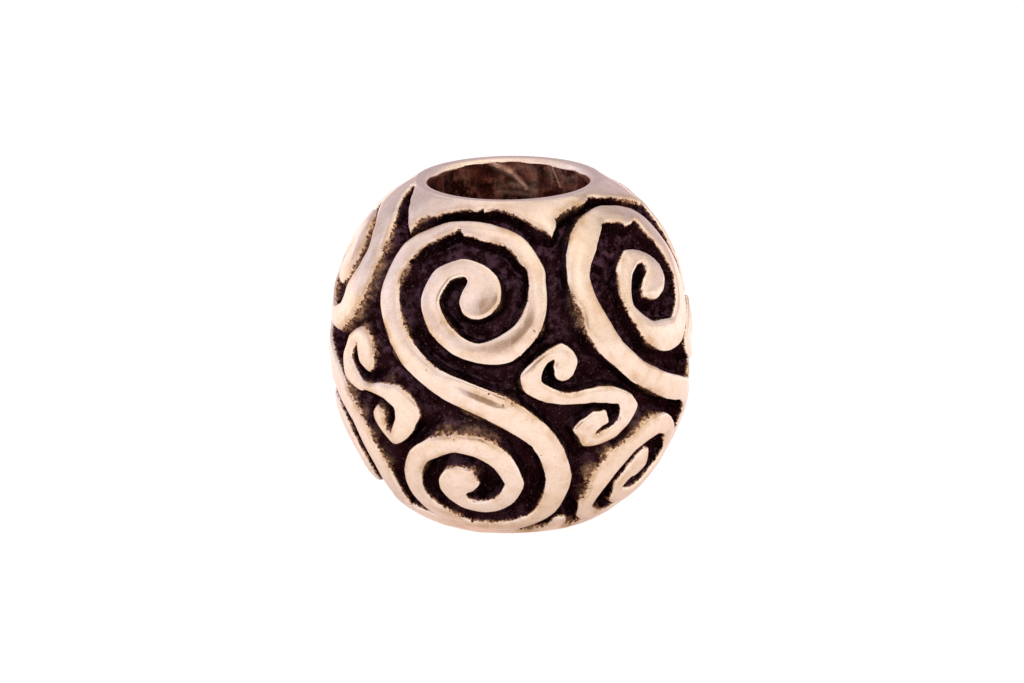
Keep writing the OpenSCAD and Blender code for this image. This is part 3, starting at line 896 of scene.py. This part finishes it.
def polish(g, n):
    """Tops: cream with warmer clouds, a painted highlight on crisp edges, golden tarnish mixed with painted
    shade on worn ones and in patches, with tiny brown specks.
    """
    tops = g.mix(g.ramp(n.broad, 0.3, 0.7), CREAM, WARM_CREAM)
    tops = g.mix(g.ramp(n.patchy, 0.42, 0.72, 0, 0.56), tops, CLOUD)
    tops = g.mix(g.ramp(n.streaky, 0.46, 0.68, 0, 0.44), tops, STREAK)
    tops = g.mix(g.ramp(n.fine, 0.45, 0.72, 0, 0.30), tops, GRAIN)
    # Painted highlight: a pale line along the crisp edges, where the tops round over
    crisp = g.times(g.ramp(n.lift, 0.885, 0.940, 1, 0), g.ramp(n.fringe, 0.12, 0.42, 0.32, 0.0))
    tops = g.mix(crisp, tops, PAINTED_HIGHLIGHT)
    # Golden colour near worn edges and in the listed patches: partly tarnish, partly painted shade
    edged = g.times(g.ramp(n.lift, 0.925, 0.985, 1, 0), g.ramp(n.fringe, 0.15, 0.8, 0.16, 0.9))
    golden = g.times(g.math("MAXIMUM", edged, n.stain), g.ramp(n.streaky, 0.3, 0.65, 0.40, 0.95))
    tops = g.mix(golden, tops, TARNISH_AND_SHADE)
    return g.mix(g.ramp(n.ragged, 0.69, 0.73, 0, 0.5), tops, SPECK)


def patina(g, n):
    """Ground: near black with a painted lilac sheen where it faces up, brown on soft shoulders, ochre by the
    polish.
    """
    up = g.parts(g.place("Normal"))[2]
    dark = g.mix(g.ramp(n.patchy, 0.35, 0.65), BLACK, PURPLE)
    # Painted sheen: lilac light of the tent, laid in streaks on the ground where it faces up
    dark = g.mix(g.times(g.ramp(up, -0.15, 0.7), g.ramp(n.streaky, 0.42, 0.64)), dark, PAINTED_LILAC_SHEEN)
    dark = g.mix(g.ramp(n.fine, 0.60, 0.76, 0, 0.8), dark, PALE_DUST)
    brown = g.mix(g.ramp(n.streaky, 0.35, 0.65), DARK_BROWN, BROWN)
    low = g.mix(g.times(g.ramp(n.fringe, 0.55, 0.95), g.ramp(n.wear, 0.18, 0.50)), dark, brown)
    ochre = g.mix(g.ramp(n.ragged, 0.32, 0.68), DARK_OCHRE, OCHRE)
    return g.mix(g.ramp(n.wear, g.ramp(n.fringe, 0.2, 1.0, 0.60, 0.42), 0.73), low, ochre)


def bore_skin(g, n):
    """The bore's brown casting skin, bare along its seam and scratches."""
    skin = g.mix(g.ramp(n.patchy, 0.40, 0.66), DARK_SKIN, SKIN)
    skin = g.mix(g.ramp(n.streaky, 0.50, 0.70, 0, 0.7), skin, SKIN_STREAK)
    skin = g.mix(g.ramp(n.fine, 0.62, 0.75, 0, 0.6), skin, SKIN_SPECK)
    return g.mix(g.times(n.bare, g.ramp(n.ragged, 0.3, 0.6, 0.5, 1.0)), skin, BARE)


def in_bore_of(g, place):
    """1 within the bore's wall and 0 outside it, for a place in metres."""
    across, back, _ = g.parts(place)
    wide = g.math("ADD", g.times(across, across), g.times(back, back))
    return g.ramp(wide, ((BORE + 0.04) / 1000) ** 2, ((BORE + 0.10) / 1000) ** 2, 1, 0)


def bronze():
    """Polished pinkish bronze on the tops, ragged ochre where the wear ends, purple-black patina below."""
    material, g = blank("aged_bronze")
    place = g.place("Object")
    n = SimpleNamespace(**{name: g.noise(place, *how) for name, how in GRAINS.items()})
    for name in MARKS:
        setattr(n, name, g.add("ShaderNodeAttribute", attribute_name=name).outputs["Fac"])
    n.wear = wear_of(g, n)
    colour = g.mix(g.ramp(n.wear, 0.70, 0.78), patina(g, n), polish(g, n))
    skinned = g.times(in_bore_of(g, place), g.ramp(n.wear, 0.45, 0.7, 1, 0))
    polished = g.ramp(n.wear, 0.5, 0.80)
    grain = g.add("ShaderNodeBump", {"Height": n.fine, "Distance": 0.000008, "Strength": 0.25})
    crust = g.add("ShaderNodeBump", {
        "Height": n.ragged,
        "Distance": 0.00006,
        "Strength": g.ramp(n.wear, 0.5, 0.80, 1.0, 0.04),
        "Normal": grain.outputs[0],
    })
    shader = g.add("ShaderNodeBsdfPrincipled", {
        "Base Color": g.mix(skinned, colour, bore_skin(g, n)),
        "Metallic": g.ramp(skinned, 0, 1, 1, 0.25),
        "Roughness": g.math("MAXIMUM", g.ramp(n.wear, 0.50, 0.80, 0.55, 0.19), g.times(skinned, 0.75)),
        "Specular Tint": g.mix(polished, PATINA_SHEEN, METAL_SHEEN),
        "Normal": crust.outputs[0],
    })
    g.add("ShaderNodeOutputMaterial", {0: shader.outputs[0]})
    return material


bead = casting()
bead.data.materials.clear()
bead.data.materials.append(bronze())
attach(bead, "root")
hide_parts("bead")


# floor, light and camera
def floor():
    """Pale table, seen brighter than it lights the bead."""
    size = 2.0
    made = bpy.data.meshes.new("floor")
    corners = [(-size, -size, 0), (size, -size, 0), (size, size, 0), (-size, size, 0)]
    made.from_pydata(corners, [], [(0, 1, 2, 3)])
    surface = placed("floor", made)
    material, g = blank("pale_floor")
    matt = g.add("ShaderNodeBsdfDiffuse", {"Color": (0.8, 0.79, 0.78, 1)})
    # The floor behind the bead lights it more than the floor before it
    behind = g.parts(g.place("Object"))[1]
    lit_by = {"Color": (1, 0.99, 0.98, 1), "Strength": g.ramp(behind, 0.004, 0.035, 0.40, 0.60)}
    unseen = g.add("ShaderNodeEmission", lit_by)
    glow = g.add("ShaderNodeEmission", {"Color": (1, 1, 1, 1), "Strength": 1.2})
    pale = g.add("ShaderNodeMixShader", {0: 0.78, 1: matt.outputs[0], 2: glow.outputs[0]})
    lit = g.add("ShaderNodeAddShader", {0: matt.outputs[0], 1: unseen.outputs[0]})
    seen = g.add("ShaderNodeLightPath").outputs["Is Camera Ray"]
    both = g.add("ShaderNodeMixShader", {0: seen, 1: lit.outputs[0], 2: pale.outputs[0]})
    g.add("ShaderNodeOutputMaterial", {0: both.outputs[0]})
    made.materials.append(material)


# Soft lamps in the tent, at the camera's right and left, overhead, and low at the left behind: direction
# across, back and up, cosine at the rim, strength, colour
WARM, COOL = (1.9, 1.8, 1.7), (1.30, 1.45, 1.85)
LAMPS = [
    (0.55, -0.45, 0.70, 0.90, 0.16, WARM),
    (-0.60, -0.60, 0.53, 0.92, 0.10, WARM),
    (0.30, 0.0, 0.95, 0.88, 0.15, WARM),
    (-0.85, 0.45, 0.25, 0.92, 0.33, COOL),
]


def tent():
    """White light tent: bright all round, with the dim opening that the camera looks through."""
    world = bpy.data.worlds.new("tent")
    bpy.context.scene.world = world
    world.use_nodes = True
    g = Graph(world.node_tree)
    way = g.place("Generated")
    opening = g.towards(way, tuple(SIGHT))
    across, _, up = g.parts(way)
    sideways = g.mix(g.ramp(across, -0.8, 0.6), (0.89, 0.86, 0.95), (0.99, 0.935, 0.875))
    back = g.mix(g.ramp(up, -0.2, 0.6), (0.82, 0.77, 0.86), (0.56, 0.56, 0.68))
    colour = g.mix(g.ramp(opening, -0.9, 0.1), back, sideways)
    for x, y, z, rim, strength, tone in LAMPS:
        near = g.ramp(g.towards(way, (x, y, z)), rim - 0.15, rim + 0.08, 0.0, strength)
        colour = g.mix(near, colour, tone)
    # Folds in the cloth keep the light from being quite even
    evenness = g.ramp(g.noise(way, 2.4, 1.0), 0.36, 0.64, 0.87, 1.13)
    folds = g.add("ShaderNodeVectorMath", {0: colour, "Scale": evenness}, operation="SCALE").outputs[0]
    colour = g.mix(g.ramp(opening, 0.965, 0.994), folds, (0.38, 0.27, 0.185))
    seen = g.add("ShaderNodeLightPath").outputs["Is Camera Ray"]
    colour = g.mix(seen, colour, (1, 1, 1))
    light = g.add("ShaderNodeBackground", {"Color": colour, "Strength": 1.0})
    g.add("ShaderNodeOutputWorld", {0: light.outputs[0]})


def camera():
    """At the photograph's angle, far off, turned a little about its own axis."""
    roll, far = math.radians(-0.8), 0.228
    # In metres, how far the bead's middle lies left of and below the photograph's
    aim_right, aim_up = 0.0000577, 0.00001
    back = Vector(SIGHT)
    across, up = Vector((1, 0, 0)), Vector((0, math.sin(VIEW_ANGLE), math.cos(VIEW_ANGLE)))
    right = across * math.cos(roll) + up * math.sin(roll)
    top = up * math.cos(roll) - across * math.sin(roll)
    data = bpy.data.cameras.new("camera")
    data.lens = 183.4
    data.sensor_width = 36
    data.clip_start, data.clip_end = 0.01, 20
    made = placed("camera", data)
    place = Vector((0, 0, HALF_HEIGHT / 1000)) + back * far + right * aim_right + top * aim_up
    made.matrix_world = Matrix((
        (right.x, top.x, back.x, place.x),
        (right.y, top.y, back.y, place.y),
        (right.z, top.z, back.z, place.z),
        (0, 0, 0, 1),
    ))
    bpy.context.scene.camera = made


floor()
tent()
camera()
scene = bpy.context.scene
scene.view_settings.view_transform = "Standard"
scene.view_settings.look = "None"
